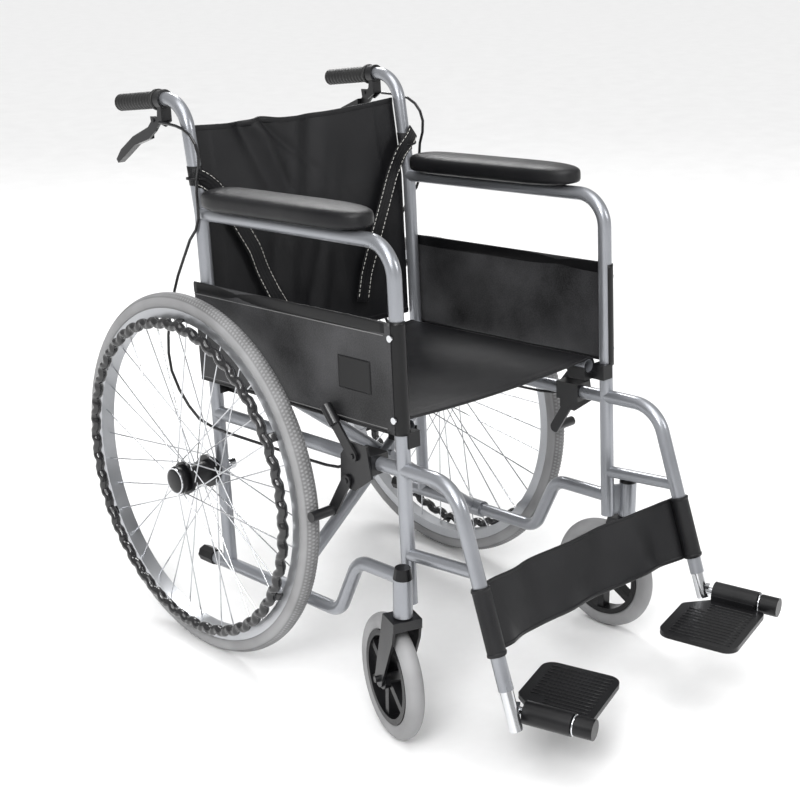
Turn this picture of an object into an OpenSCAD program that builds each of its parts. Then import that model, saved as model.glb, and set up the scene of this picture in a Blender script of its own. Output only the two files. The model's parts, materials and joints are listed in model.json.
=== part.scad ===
// Folding steel wheelchair. X across (+X is the user's left), Y along (the user faces -Y), Z up.
// Origin: the floor point at the middle of the chair's length and width.

/* [Rear wheels] */
// Radius of the rear wheel over its tyre
wheel_r = 304; // [290:1:320]
// Radius of the rear tyre's round section
tyre_r = 15.5; // [13:0.5:18]
// Distance from the side frame's middle plane to the wheel's middle plane
wheel_out = 53.5; // [51:0.5:64]
// Radius of the handrim's centre line
handrim_r = 259; // [245:1:264]
// Radius of the handrim's tube
handrim_tube_r = 10; // [8:0.5:12]
// Distance from the wheel's middle plane to the handrim's
handrim_out = 27.5; // [26:0.5:34]
// Spokes in one wheel
spoke_count = 36; // [24:12:36]

/* [Casters] */
// Radius of the caster over its tyre
caster_r = 96; // [80:1:100]
// Radius of the caster tyre's section
caster_tyre_r = 14; // [10:0.5:16]
// Distance that the caster's axle trails behind its stem
caster_trail = 40; // [32:1:46]
// Turn of the right caster at rest
caster_turn_right = -19; // [-40:1:40]
// Turn of the left caster at rest
caster_turn_left = 3; // [-40:1:40]

/* [Frame] */
// Distance between the middle planes of the two side frames
frame_w = 455; // [380:1:520]
// Outer radius of the frame tubes
tube_r = 11; // [10:0.5:12]
// Wall of the frame tubes
wall = 1.2; // [1:0.1:2]
// Distance from the rear post to the front upright
base_l = 447; // [420:1:480]
// Height of the armrest tube above the rear axle
arm_z = 424.5; // [400:1:450]
// Height of the side rail above the rear axle
side_rail_z = 93; // [85:1:100]
// Depth of the lower rail below the rear axle
low_rail_z = 176; // [165:1:185]
// Angle by which the frame leans back
rake = 3.5; // [2:0.5:5]

/* [Seat and back] */
// Distance between the two seat tubes
seat_tube_w = 400; // [340:1:400]
// Height of the seat tubes above the rear axle
seat_tube_z = 150; // [140:1:160]
// Lowest point of the back sling above the rear axle
back_z0 = 171; // [171:1:230]
// Highest point of the back sling above the rear axle
back_z1 = 558; // [500:1:570]
// Length of an arm pad
pad_l = 371; // [250:1:375]

/* [Footrests] */
// Height of the right footplate's hinge above the floor
foot_z_right = 112; // [100:1:130]
// Height of the left footplate's hinge above the floor
foot_z_left = 152; // [100:1:155]
// Angle by which the hangers lean forward
hanger_lean = 17; // [14:1:20]
// Width of a footplate from its hinge
plate_w = 158; // [130:1:170]

/* [Fits] */
// Clearance of a running fit, on the radius
run_gap = 0.06; // [0.02:0.01:0.1]
// Space kept between pieces that pass each other
pass_gap = 0.5; // [0.4:0.1:1]

/* [Hidden] */
$fn = 48;

silver = [0.62, 0.63, 0.65];
chrome = [0.82, 0.83, 0.85];
black = [0.08, 0.08, 0.09];
tyre_grey = [0.55, 0.55, 0.56];
rim_grey = [0.78, 0.79, 0.81];

frame_x = frame_w / 2;
seat_x = seat_tube_w / 2;
inner_r = tube_r - wall;
bend_r = 52;
butt_gap = 0.01;
// Points of the side frame as [y, z] from the rear axle, before the frame is raked
lean_back = 7;
lean_start = arm_z;
cane_top = [(606 - lean_start) * tan(lean_back), 606];
grip_drop = 4.6;
grip_end = 196;
cane_end = [grip_end, cane_top[1] - (grip_end - cane_top[0]) * tan(grip_drop)];
upright_end = -112;
front_rail_z = -78;
rail_bend = [-283, -335];
rail_tail = 40;
hanger_z = side_rail_z + 2;
hanger_corner = -549;
hanger_end_right = 155;
hanger_end_left = 178;
strut = [[-base_l, -35], [-588, -26]];
// The hanger leaves its corner down and forward; points on it at a height above the floor
hanger_dir = [-sin(hanger_lean), -cos(hanger_lean)];
function to_world(p) = [p[0] * cos(rake) + p[1] * sin(rake), wheel_r - p[0] * sin(rake) + p[1] * cos(rake)];
function hanger_at(z_floor) =
  let (start = to_world([hanger_corner, hanger_z]), fall = to_world([hanger_corner, hanger_z] + hanger_dir)[1] - start[1])
  [hanger_corner, hanger_z] + hanger_dir * (z_floor - start[1]) / fall;
foot_r = inner_r - run_gap;
// Footplate: its hinge barrel starts beside the footrest tube and turns by foot_yaw, outward where it is above 0
foot_yaw_right = -19;
foot_yaw_left = 15;
barrel_r = 17;
barrel_start = 6;
barrel_end = 78;
knob_end = 110;
hinge_pin_end = 105;
plate_reach = 95;
corner_r = 20;
hinge_pin_r = 6;
// Where the barrel's axis starts, from the footrest tube's middle: across and along
hinge_off_right = [-28.5, 12];
hinge_off_left = [5, -15];
// The chair's length runs from the rear tyres to the inner front corner of the left footplate
foot_origin_y = to_world(hanger_at(foot_z_left))[0] + hinge_off_left[1];
front_reach = foot_origin_y - (plate_w - corner_r) * sin(foot_yaw_left)
  - (plate_reach - corner_r) * cos(foot_yaw_left) - corner_r;
axle_y = -(wheel_r + front_reach) / 2;
// Caster barrel, from the rear axle along Y and from the floor in Z
caster_x = frame_x + 30.5;
caster_y = -469;
stem_r = 8;
head_r = 14.5;
head_z = [215.5, 275];
head_cap = 17;
fork_top = 213;
// Folding: the brace arms stand at this angle at rest
brace_y = -142;
brace_r = 11;
brace_gap = 1;
sleeve_r = tube_r + 0.1;
sleeve_wall = 3.5;
brace_angle = atan((seat_tube_z + low_rail_z) / (seat_x + frame_x));
pivot_z = -low_rail_z + frame_x * tan(brace_angle);
seat_tube_y = [-base_l + 14, -15];
seat_half_w = 164;
seat_t = 4;
back_half_w = 187;
back_t = 3;
back_hinge_y = tube_r + 2.5;
hub_r = 27;
hub_in = 37;
axle_r = 6;
rim_r = 281;
rim_in_r = 264;
rim_half = 12.5;
skirt_x = frame_x + tube_r + 0.1;
skirt_t = 3;
skirt_z = [150, 314];
skirt_y = [-base_l - tube_r, 20];
pad_w = 77;
pad_h = 37;
grip_r = 14.5;
grip_start = 90;
brake_x = frame_x + tube_r + 12;
lever_t = 4;
lever_pivot = [-365, 104];
shoe_pivot = [-348, 62];
shoe_r = 8;
shoe_gap = 0.6;
shoe_z = 8;
shoe_y = -sqrt(pow(wheel_r + shoe_r + shoe_gap, 2) - pow(shoe_z, 2));
hand_pivot = [97, 568];
// The lever's clamp starts where the cane's top bend has ended
clamp_start = 51;
// Brake cable: from the hand brake lever over the back of the side frame to the parking brake,
// as [across from the side frame's middle plane, along, up] from the rear axle
cable_r = 2.5;
cable_route = [
  [13, 76, 566], [13.5, 52, 565], [15, 28, 563], [15, 10, 559], [15, -8, 550], [15, -20, 537],
  [15, -26, 520], [15, -24, 500], [15, -16, 480], [15, -13, 460], [15, -13, 440], [15, -12, 420],
  [15, -2, 400], [15, 17, 382], [15, 42, 345], [15, 60, 318], [15, 73, 293], [15, 92, 252],
  [15, 104, 211], [15, 108, 180], [15, 104, 150], [15, 86, 120], [15, 62, 96], [15, 34, 78],
  [15, 0, 72], [15, -40, 70], [15, -90, 70], [15, -140, 70], [15, -190, 70], [15, -240, 70],
  [15, -290, 71], [15, -318, 74], [15, -334, 80]
];
cable_sides = 8;

// ---- Helpers ----------------------------------------------------------------------------------

// Everything is drawn for the left side (+X) and mirrored for the right
module on_side(side) mirror([side < 0 ? 1 : 0, 0, 0]) children();
// Frame coordinates: the rear axle is the origin and the frame leans back
module raked() translate([0, axle_y, wheel_r]) rotate([-rake, 0, 0]) children();
module level() translate([0, axle_y, 0]) children();

module annulus(r, w) difference() { circle(r); if (w > 0) circle(r - w); }

function unit(v) = v / norm(v);
// Length of the straight that a bend of radius r takes off each side of corner b
function setback(a, b, c, r) = r * tan(acos(unit(b - a) * unit(c - b)) / 2);

// A straight tube in the YZ plane from a to b, solid where w is 0
module yz_straight(a, b, r, w)
  translate([0, a[0], a[1]]) rotate([-atan2(b[0] - a[0], b[1] - a[1]), 0, 0])
    linear_extrude(norm(b - a)) annulus(r, w);

// A bend of radius big at corner b of the path a, b, c in the YZ plane
module yz_bend(a, b, c, big, r, w) {
  d = unit(b - a);
  e = unit(c - b);
  turn = acos(d * e);
  left = d[0] * e[1] - d[1] * e[0] > 0;
  n = left ? [-d[1], d[0]] : [d[1], -d[0]];
  middle = b - d * big * tan(turn / 2) + n * big;
  from = atan2(-n[1], -n[0]);
  translate([0, middle[0], middle[1]]) rotate([90, 0, 90])
    rotate_extrude(angle = turn, start = left ? from : from - turn) translate([big, 0]) annulus(r, w);
}

// A bent tube along points in the YZ plane with the given bend radius at each inner point.
// A seam is the space left beside each bend, where lengths of tube are butted together.
module yz_tube(points, bends, r = tube_r, w = wall, seam = 0) {
  last = len(points) - 1;
  for (i = [0:last - 1]) {
    a = points[i];
    b = points[i + 1];
    d = unit(b - a);
    cut_a = i == 0 ? 0 : setback(points[i - 1], a, b, bends[i - 1]) + seam;
    cut_b = i == last - 1 ? 0 : setback(a, b, points[i + 2], bends[i]) + seam;
    yz_straight(a + d * cut_a, b - d * cut_b, r, w);
  }
  for (i = [1:1:last - 1])
    yz_bend(points[i - 1], points[i], points[i + 1], bends[i - 1], r, w);
}

module x_rod(x0, x1, y, z, r) translate([x0, y, z]) rotate([0, 90, 0]) cylinder(r = r, h = x1 - x0);
module block(x, y, z) translate([x[0], y[0], z[0]]) cube([x[1] - x[0], y[1] - y[0], z[1] - z[0]]);
// A plate across X from an outline in the YZ plane
module yz_plate(x0, t, outline) translate([x0, 0, 0]) rotate([90, 0, 90]) linear_extrude(t) polygon(outline);
// A plate whose outline is a strip with round ends along points in the YZ plane
module yz_link(x0, t, a, b, r)
  translate([x0, 0, 0]) rotate([90, 0, 90]) linear_extrude(t) {
    translate(a) circle(r);
    translate(b) circle(r);
    translate(a) rotate(atan2(b[1] - a[1], b[0] - a[0])) translate([0, -r]) square([norm(b - a), 2 * r]);
  }

// ---- Side frame -------------------------------------------------------------------------------

cane_points = [[0, -low_rail_z], [0, lean_start], cane_top, cane_end];
module post_cut(r = tube_r) translate([frame_x, 0, -low_rail_z]) cylinder(r = r, h = arm_z + low_rail_z);

module back_post(side) color(silver) on_side(side) raked() difference() {
  translate([frame_x, 0, 0]) yz_tube(cane_points, [120, bend_r], seam = butt_gap);
  translate([frame_x, rail_tail - 80, -low_rail_z]) rotate([-90, 0, 0]) cylinder(r = tube_r, h = 80);
  x_rod(frame_x - 20, frame_x + 20, 0, 0, axle_r);
}

upright_points = [[0, arm_z], [-base_l, arm_z], [-base_l, upright_end]];
module arm_tube(side) color(silver) on_side(side) {
  raked() difference() {
    translate([frame_x, 0, 0]) yz_tube(upright_points, [50]);
    translate([frame_x, 0, arm_z - 30]) cylinder(r = tube_r, h = 31);
    translate([frame_x, 0, arm_z]) rotate([-lean_back, 0, 0]) cylinder(r = tube_r, h = 30);
  }
  level() caster_head();
}
module caster_head() {
  upright = to_world([-base_l, -60])[0];
  reach = norm([caster_x - frame_x, caster_y - upright]);
  difference() {
    union() {
      translate([caster_x, caster_y, head_z[0]]) cylinder(r = head_r, h = head_z[1] - head_z[0]);
      translate([frame_x, upright, 0]) rotate(atan2(caster_y - upright, caster_x - frame_x))
        block([tube_r - 2, reach - 5], [-3, 3], [head_z[0] + 4, head_z[1] - 4]);
    }
    translate([caster_x, caster_y, head_z[0] - 1]) cylinder(r = stem_r + run_gap, h = head_z[1] - head_z[0] + 2);
    translate([0, -axle_y, 0]) raked() translate([frame_x, -base_l, upright_end - 1]) cylinder(r = tube_r - 0.4, h = 120);
  }
}

module side_rails(side) color(silver) on_side(side) raked() difference() {
  translate([frame_x, 0, 0]) {
    yz_straight([0, side_rail_z], [-base_l, side_rail_z], tube_r, wall);
    yz_tube([[rail_tail, -low_rail_z], [rail_bend[0], -low_rail_z], [rail_bend[1], front_rail_z],
      [-base_l, front_rail_z]], [35, 35], seam = butt_gap);
  }
  translate([frame_x, 0, side_rail_z - 30]) cylinder(r = tube_r, h = 60);
  translate([frame_x, -base_l, upright_end - 1]) cylinder(r = tube_r, h = side_rail_z - upright_end + 40);
}

module hanger(side) color(silver) on_side(side) raked() {
  end_z = side < 0 ? hanger_end_right : hanger_end_left;
  difference() {
    translate([frame_x, 0, 0]) {
      yz_tube([[-base_l, hanger_z], [hanger_corner, hanger_z], hanger_at(end_z)], [55]);
      difference() {
        yz_straight(strut[0], strut[1], tube_r - 1.5, wall);
        yz_straight(hanger_at(end_z + 200), hanger_at(end_z), tube_r - 0.1, 0);
      }
    }
    translate([frame_x, -base_l, upright_end - 1]) cylinder(r = tube_r, h = hanger_z - upright_end + 40);
  }
}

// Rear tip plug, caster barrel cap and the two saddles that hold the seat tube
module plastic_fittings(side) color(black) on_side(side) {
  raked() {
    translate([frame_x, rail_tail, -low_rail_z]) rotate([-90, 0, 0]) {
      cylinder(r = tube_r + 3, h = 36, $fn = 8);
    }
    saddle(-base_l, 1);
    saddle(0, -1);
  }
  level() translate([caster_x, caster_y, head_z[1]]) cylinder(r1 = head_r, r2 = head_r - 3, h = head_cap);
}
// The saddle at an upright at y, which reaches towards the other upright (way is 1 or -1 along Y)
module saddle(y, way) {
  z = [seat_tube_z - 22, seat_tube_z + 2];
  difference() {
    union() {
      translate([0, y, 0]) block([seat_x - 13, seat_x + 13], way > 0 ? [11, 46] : [-46, -13], [z[0], seat_tube_z - 1]);
      translate([0, y, 0]) block([seat_x + 5, frame_x], [-13, 13], z);
    }
    translate([seat_x, -base_l, seat_tube_z]) rotate([-90, 0, 0]) cylinder(r = tube_r + pass_gap, h = base_l);
    translate([frame_x, y, z[0] - 1]) cylinder(r = tube_r, h = 40);
  }
}

module along_grip() translate([frame_x, cane_top[0], cane_top[1]]) rotate([-90 - grip_drop, 0, 0]) children();
grip_run = norm(cane_end - cane_top);
module push_grip(side) color(black) on_side(side) raked() difference() {
  translate([0, 0, 0]) along_grip() translate([0, 0, grip_start - cane_top[0]]) {
    cylinder(r = grip_r, h = grip_run - grip_start + cane_top[0] + 8);
    cylinder(r = grip_r + 3, h = 6);
  }
  along_grip() translate([0, 0, 20]) cylinder(r = tube_r, h = grip_run - 20);
}

// ---- Hand brake at the push grip --------------------------------------------------------------

module lever_clamp(side) color(black) on_side(side) raked() difference() {
  union() {
    along_grip() translate([0, 0, clamp_start]) cylinder(r = tube_r + 4.5, h = 15);
    for (x = [frame_x - 10, frame_x + 7])
      yz_plate(x, 3, [[74, 596], [83, 594], [86.5, 574], [106, 574], [104, 560], [90, 556], [74, 566]]);
    block([frame_x - 10, frame_x + 10], [74, 80], [568, 590]);
    x_rod(frame_x - 12, frame_x + 12, hand_pivot[0], hand_pivot[1], 3);
  }
  along_grip() translate([0, 0, clamp_start - 2]) cylinder(r = tube_r, h = 60);
}
// Flat beside its pivot, where the folded back passes on its inner side, and full width in the hand
module hand_lever(side) color(black) on_side(side) raked() difference() {
  union() {
    yz_plate(frame_x + 2.2, 4.4, [[89, 572], [101, 574], [120, 556], [168, 538], [208, 514], [224, 497], [219, 491],
      [200, 502], [164, 524], [122, 536], [100, 550], [90, 560]]);
    yz_plate(frame_x - 6, 12, [[121, 555.7], [168, 538], [208, 514], [224, 497], [219, 491], [200, 502], [164, 524],
      [123, 536]]);
  }
  x_rod(frame_x - 12, frame_x + 12, hand_pivot[0], hand_pivot[1], 3 + run_gap);
}

// A round tube swept along points by rings that stand square to the path
function cable_dir(p, i) = unit(p[min(i + 1, len(p) - 1)] - p[max(i - 1, 0)]);
function cable_ring(c, d, r, n) =
  let (u = unit(cross(d, [1, 0, 0])), v = cross(d, u))
  [for (k = [0:n - 1]) c + r * (cos(360 * k / n) * u + sin(360 * k / n) * v)];
module swept(points, r, n) {
  rings = [for (i = [0:len(points) - 1]) each cable_ring(points[i], cable_dir(points, i), r, n)];
  last = (len(points) - 1) * n;
  sides = [for (i = [0:len(points) - 2]) for (k = [0:n - 1])
    [i * n + k, i * n + (k + 1) % n, (i + 1) * n + (k + 1) % n, (i + 1) * n + k]];
  polyhedron(rings, concat(sides, [[for (k = [n - 1:-1:0]) k], [for (k = [0:n - 1]) last + k]]), convexity = 6);
}
module brake_cable(side) color(black) on_side(side) raked() translate([frame_x, 0, 0])
  swept(cable_route, cable_r, cable_sides);

// ---- Armrest and clothes guard ----------------------------------------------------------------

module arm_pad(side) color(black) on_side(side) raked() difference() {
  translate([frame_x - 42, -24 - pad_l, arm_z + 8.5]) {
    translate([0, pad_w / 2, 0]) cube([pad_w, pad_l - pad_w / 2, pad_h]);
    translate([pad_w / 2, pad_w / 2, 0]) cylinder(r = pad_w / 2, h = pad_h);
  }
  translate([frame_x, 0, arm_z]) rotate([90, 0, 0]) cylinder(r = tube_r, h = base_l);
}
module skirt_panel(side) color(black) on_side(side) raked()
  block([skirt_x, skirt_x + skirt_t], skirt_y, skirt_z);

// ---- Rear wheel -------------------------------------------------------------------------------

wheel_x = frame_x + wheel_out;
// Wheel coordinates: the wheel's axis is Z and points away from the chair
module at_wheel(side) on_side(side) translate([wheel_x, axle_y, wheel_r]) rotate([0, 90, 0]) children();
tyre_mid = wheel_r - tyre_r;
module tyre(side) color(tyre_grey) at_wheel(side) rotate_extrude() {
  difference() {
    translate([tyre_mid, 0]) circle(tyre_r);
    translate([0, -tyre_r]) square([rim_r, 2 * tyre_r]);
  }
  translate([rim_in_r + 3, 2 - rim_half]) square([rim_r - rim_in_r - 3 + 0.5, 2 * rim_half - 4]);
}
module rim(side) color(rim_grey) at_wheel(side) rotate_extrude() difference() {
  translate([rim_in_r, -rim_half]) square([rim_r - rim_in_r, 2 * rim_half]);
  translate([rim_in_r + 3, 2 - rim_half]) square([rim_r, 2 * rim_half - 4]);
}
module hub(side) color(black) at_wheel(side) difference() {
  union() {
    translate([0, 0, -hub_in]) cylinder(r = 19, h = hub_in + 36);
    for (z = [-26, 20]) translate([0, 0, z]) cylinder(r = hub_r, h = 6);
  }
  translate([0, 0, -hub_in - 1]) cylinder(r = axle_r + run_gap, h = hub_in + 40);
}
spoke_r = 1.1;
module spoke(from, to) {
  d = to - from;
  translate(from) rotate([0, acos(d[2] / norm(d)), atan2(d[1], d[0])]) cylinder(r = spoke_r, h = norm(d), $fn = 16);
}
module spokes(side) color(chrome) at_wheel(side) for (i = [0:spoke_count - 1]) {
  rim_a = 360 * i / spoke_count;
  outer = i % 2 == 0;
  ahead = floor(i / 2) % 2 == 0;
  hub_a = rim_a + (ahead ? 68 : -68);
  flange = (outer ? 20 : -20) + (ahead ? 3.5 : -0.5) * (outer ? 1 : -1);
  spoke([(hub_r + 1.2) * cos(hub_a), (hub_r + 1.2) * sin(hub_a), flange],
    [(rim_in_r - 0.2) * cos(rim_a), (rim_in_r - 0.2) * sin(rim_a), outer ? 3 : -3]);
}
module handrim(side) color(black) at_wheel(side) {
  translate([0, 0, handrim_out]) rotate_extrude() translate([handrim_r, 0]) circle(handrim_tube_r);
  for (i = [0:5]) rotate(60 * i + 30)
    translate([rim_in_r - 2, -8, rim_half]) cube([11, 16, handrim_out - rim_half - 3]);
}
// Wheel axle with its inner nut and outer cap, and the screws of the clothes guard and back sling
module axle_and_screws(side) color(chrome) on_side(side) {
  translate([0, axle_y, wheel_r]) {
    x_rod(frame_x - tube_r - 10, wheel_x + 42, 0, 0, axle_r);
    difference() {
      union() {
        x_rod(frame_x - tube_r - 10, frame_x - tube_r, 0, 0, 10);
        x_rod(wheel_x + 36 + pass_gap, wheel_x + 44, 0, 0, 22);
      }
      x_rod(frame_x - 40, wheel_x + 42, 0, 0, axle_r);
    }
  }
  raked() for (z = [skirt_z[0] + 22, skirt_z[1] - 22])
    x_rod(skirt_x + skirt_t, skirt_x + skirt_t + 2, -base_l, z, 5);
}

// ---- Casters ----------------------------------------------------------------------------------

leg_in = caster_tyre_r + 5;
leg_t = 4;
caster_axle_r = 5;
module at_caster(side) on_side(side) level() translate([caster_x, caster_y, 0])
  rotate(side < 0 ? -caster_turn_right : caster_turn_left) children();
module caster_fork(side) color(black) at_caster(side) {
  difference() {
    union() {
      block([-leg_in - leg_t, leg_in + leg_t], [-17, 22], [caster_r + 102, fork_top]);
      for (x = [-leg_in - leg_t, leg_in]) {
        yz_plate(x, leg_t, [[-17, fork_top], [22, fork_top], [caster_trail + 13, caster_r], [caster_trail - 13, caster_r],
          [-12, caster_r + 84]]);
        x_rod(x, x + leg_t, caster_trail, caster_r, 13);
      }
    }
    x_rod(-60, 60, caster_trail, caster_r, caster_axle_r);
  }
  translate([0, 0, fork_top]) cylinder(r = stem_r, h = head_z[1] - fork_top - 1);
  x_rod(-leg_in - leg_t - 6, leg_in + leg_t + 6, caster_trail, caster_r, caster_axle_r);
}
module at_caster_wheel(side) at_caster(side) translate([0, caster_trail, caster_r]) rotate([0, 90, 0]) children();
caster_rim_r = caster_r - 2 * caster_tyre_r + 4;
module caster_wheel(side) color(black) at_caster_wheel(side) difference() {
  union() {
    translate([0, 0, -leg_in + pass_gap]) cylinder(r = 17, h = 2 * leg_in - 2 * pass_gap);
    difference() {
      translate([0, 0, -12]) cylinder(r = caster_rim_r, h = 24);
      translate([0, 0, -13]) cylinder(r = caster_rim_r - 9, h = 26);
    }
    for (i = [0:5]) rotate(60 * i) translate([12, -6, -9]) cube([caster_rim_r - 17, 12, 18]);
  }
  translate([0, 0, -40]) cylinder(r = caster_axle_r + run_gap, h = 80);
}
module caster_tyre(side) color(tyre_grey) at_caster_wheel(side) rotate_extrude() difference() {
  translate([caster_r - caster_tyre_r, 0]) circle(caster_tyre_r);
  translate([0, -caster_tyre_r]) square([caster_rim_r, 2 * caster_tyre_r]);
}

// ---- Parking brake ----------------------------------------------------------------------------

plate_x = brake_x - lever_t - 1;
module brake_bracket(side) color(black) on_side(side) raked() {
  difference() {
    block([frame_x - 15, plate_x], [-398, -352], [side_rail_z - 15, side_rail_z + 15]);
    translate([frame_x, 0, side_rail_z]) rotate([90, 0, 0]) cylinder(r = tube_r, h = base_l);
  }
  yz_plate(plate_x, 4, [[-400, 74], [-392, 122], [-354, 124], [-334, 100], [-330, 50], [-362, 48]]);
  for (p = [lever_pivot, shoe_pivot]) x_rod(plate_x + 4, brake_x + lever_t + 2, p[0], p[1], 4);
}
module brake_lever(side) color(black) on_side(side) raked() difference() {
  union() {
    yz_link(brake_x, lever_t, lever_pivot, [-327, 150], 9);
    translate([brake_x + lever_t / 2, -330, 146.5]) rotate([-38, 0, 0]) cylinder(r = 9, h = 32);
  }
  x_rod(brake_x - 5, brake_x + 20, lever_pivot[0], lever_pivot[1], 4 + run_gap);
}
module brake_arm(side) color(chrome) on_side(side) raked() difference() {
  union() {
    yz_link(brake_x, lever_t, shoe_pivot, [shoe_y, shoe_z], 9);
    x_rod(brake_x, wheel_x + tyre_r, shoe_y, shoe_z, shoe_r);
  }
  x_rod(brake_x - 5, brake_x + 20, shoe_pivot[0], shoe_pivot[1], 4 + run_gap);
}

// ---- Footrests --------------------------------------------------------------------------------

// Footrest coordinates: origin on the hinge axis beside the footrest tube, -Y along the hinge
module at_hinge(side) {
  z = side < 0 ? foot_z_right : foot_z_left;
  off = side < 0 ? hinge_off_right : hinge_off_left;
  on_side(side) level() translate([frame_x + off[0], to_world(hanger_at(z))[0] + off[1], z])
    rotate(side < 0 ? foot_yaw_right : foot_yaw_left) children();
}
module footrest_tube(side) color(chrome) {
  z = side < 0 ? foot_z_right : foot_z_left;
  off = side < 0 ? hinge_off_right : hinge_off_left;
  turn = side < 0 ? -foot_yaw_right : -foot_yaw_left;
  // the tube's middle seen from the hinge
  tube_at = [-off[0] * cos(turn) + off[1] * sin(turn), -off[0] * sin(turn) - off[1] * cos(turn)];
  stub = [0, 8];
  reach = tube_at - stub;
  on_side(side) raked() translate([frame_x, 0, 0])
    yz_straight(hanger_at((side < 0 ? hanger_end_right : hanger_end_left) + 70), hanger_at(z - 12), foot_r, 1.5);
  at_hinge(side) {
    translate([0, stub[1] + 5, 0]) rotate([90, 0, 0]) cylinder(r = hinge_pin_r, h = hinge_pin_end + stub[1] + 5);
    difference() {
      translate([stub[0], stub[1], -10]) rotate(atan2(reach[1], reach[0])) translate([-5, -5, 0])
        cube([norm(reach) + 5, 10, 20]);
      translate([tube_at[0], tube_at[1], -20]) cylinder(r = foot_r - 2.5, h = 40);
    }
  }
}
module footplate(side) color(black) at_hinge(side) difference() {
  union() {
    translate([0, -barrel_start, 0]) rotate([90, 0, 0]) cylinder(r = barrel_r, h = barrel_end - barrel_start);
    block([-barrel_r - 6, 0], [-barrel_end + 2, -barrel_start - 2], [-barrel_r, 4]);
    translate([0, -barrel_end, 0]) rotate([90, 0, 0]) cylinder(r = barrel_r - 5, h = 5);
    translate([0, -barrel_end - 5, 0]) rotate([90, 0, 0]) cylinder(r = barrel_r - 2, h = knob_end - barrel_end - 5);
    translate([0, 0, -barrel_r + 4]) hull() {
      for (y = [-18, -68]) translate([-20, y, 0]) cylinder(r = 8, h = 8, $fn = 32);
      translate([-56, 16, 0]) cylinder(r = 12, h = 8, $fn = 32);
      translate([-barrel_r - 9, -plate_reach + 8, 0]) cylinder(r = 8, h = 8, $fn = 32);
      for (y = [8, -plate_reach + corner_r])
        translate([-plate_w + corner_r, y, 0]) cylinder(r = corner_r, h = 8, $fn = 32);
    }
  }
  translate([0, 20, 0]) rotate([90, 0, 0]) cylinder(r = hinge_pin_r + run_gap, h = hinge_pin_end + pass_gap + 20);
}

// ---- Folding cross brace ----------------------------------------------------------------------

// One arm, from its sleeve on the lower rail at the right (way 1) or left (way -1) up to the seat tube
// at the other side. Its middle lies at y.
module brace(y, way) {
  low = [-frame_x, -low_rail_z];
  high = [seat_x, seat_tube_z];
  run = norm(high - low);
  mirror([way < 0 ? 1 : 0, 0, 0]) raked() difference() {
    union() {
      translate([low[0], y, low[1]]) rotate([0, 90 - brace_angle, 0]) cylinder(r = brace_r, h = run);
      translate([low[0], y - 26, low[1]]) rotate([-90, 0, 0]) cylinder(r = sleeve_r + sleeve_wall, h = 52);
      translate([high[0], seat_tube_y[0], high[1]]) rotate([-90, 0, 0])
        cylinder(r = tube_r, h = seat_tube_y[1] - seat_tube_y[0]);
    }
    translate([low[0], y, low[1]]) rotate([0, 90 - brace_angle, 0]) translate([0, 0, 16])
      cylinder(r = brace_r - 1.5, h = run - 28);
    translate([low[0], y - 30, low[1]]) rotate([-90, 0, 0]) cylinder(r = sleeve_r, h = 60);
    translate([high[0], seat_tube_y[0] - 1, high[1]]) rotate([-90, 0, 0])
      cylinder(r = inner_r, h = seat_tube_y[1] - seat_tube_y[0] + 2);
    translate([0, y - 20, pivot_z]) rotate([-90, 0, 0]) cylinder(r = way > 0 ? 5 : 5 + run_gap, h = 40);
  }
}
brace_step = brace_r + brace_gap / 2;
module brace_a() color(silver) {
  brace(brace_y - brace_step, 1);
  raked() translate([0, brace_y - brace_step - 18, pivot_z]) rotate([-90, 0, 0]) {
    cylinder(r = 5, h = 2 * brace_step + 36);
    translate([0, 0, 2 * brace_step + 18 + brace_r + pass_gap]) cylinder(r = 9, h = 5);
  }
}
module brace_b() color(silver) brace(brace_y + brace_step, -1);

// ---- Slings and straps ------------------------------------------------------------------------

// Half of the seat sling, wrapped on its seat tube, with room for the brace arms to fold through
seat_top = seat_tube_z + tube_r + pass_gap;
brace_room = [brace_y - 27, brace_y + 27];
module seat_half(side) color(black) on_side(side) raked() {
  for (y = [[seat_tube_y[0], brace_room[0]], [brace_room[1], seat_tube_y[1] - 2]])
    block([seat_x - seat_half_w, seat_x + 4], y, [seat_top, seat_top + seat_t]);
  block([seat_x - 1.5, seat_x + 4], brace_room, [seat_top, seat_top + seat_t]);
  for (y = [[seat_tube_y[0] + 40, brace_room[0]], [brace_room[1], seat_tube_y[1] - 40]])
    difference() {
      translate([seat_x, y[0], seat_tube_z]) rotate([-90, 0, 0]) cylinder(r = tube_r + 3, h = y[1] - y[0]);
      translate([seat_x, y[0] - 1, seat_tube_z]) rotate([-90, 0, 0]) cylinder(r = tube_r + pass_gap, h = y[1] - y[0] + 2);
      block([seat_x - 20, seat_x + 20], [y[0] - 1, y[1] + 1], [seat_tube_z - 20, seat_tube_z - 4]);
    }
}
// Half of the back sling, hung on the rear of its cane
module back_half(side) color(black) on_side(side) raked() {
  lean = (back_z1 - lean_start) * tan(lean_back);
  y = back_hinge_y - back_t / 2;
  difference() {
    yz_plate(frame_x - back_half_w, back_half_w,
      [[y, back_z0], [y, lean_start], [y + lean, back_z1], [y + lean + back_t, back_z1], [y + back_t, lean_start],
        [y + back_t, back_z0]]);
    block([frame_x - 8, frame_x + 1], [0, 60], [lean_start - 1, back_z1 + 1]);
  }
}
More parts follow.
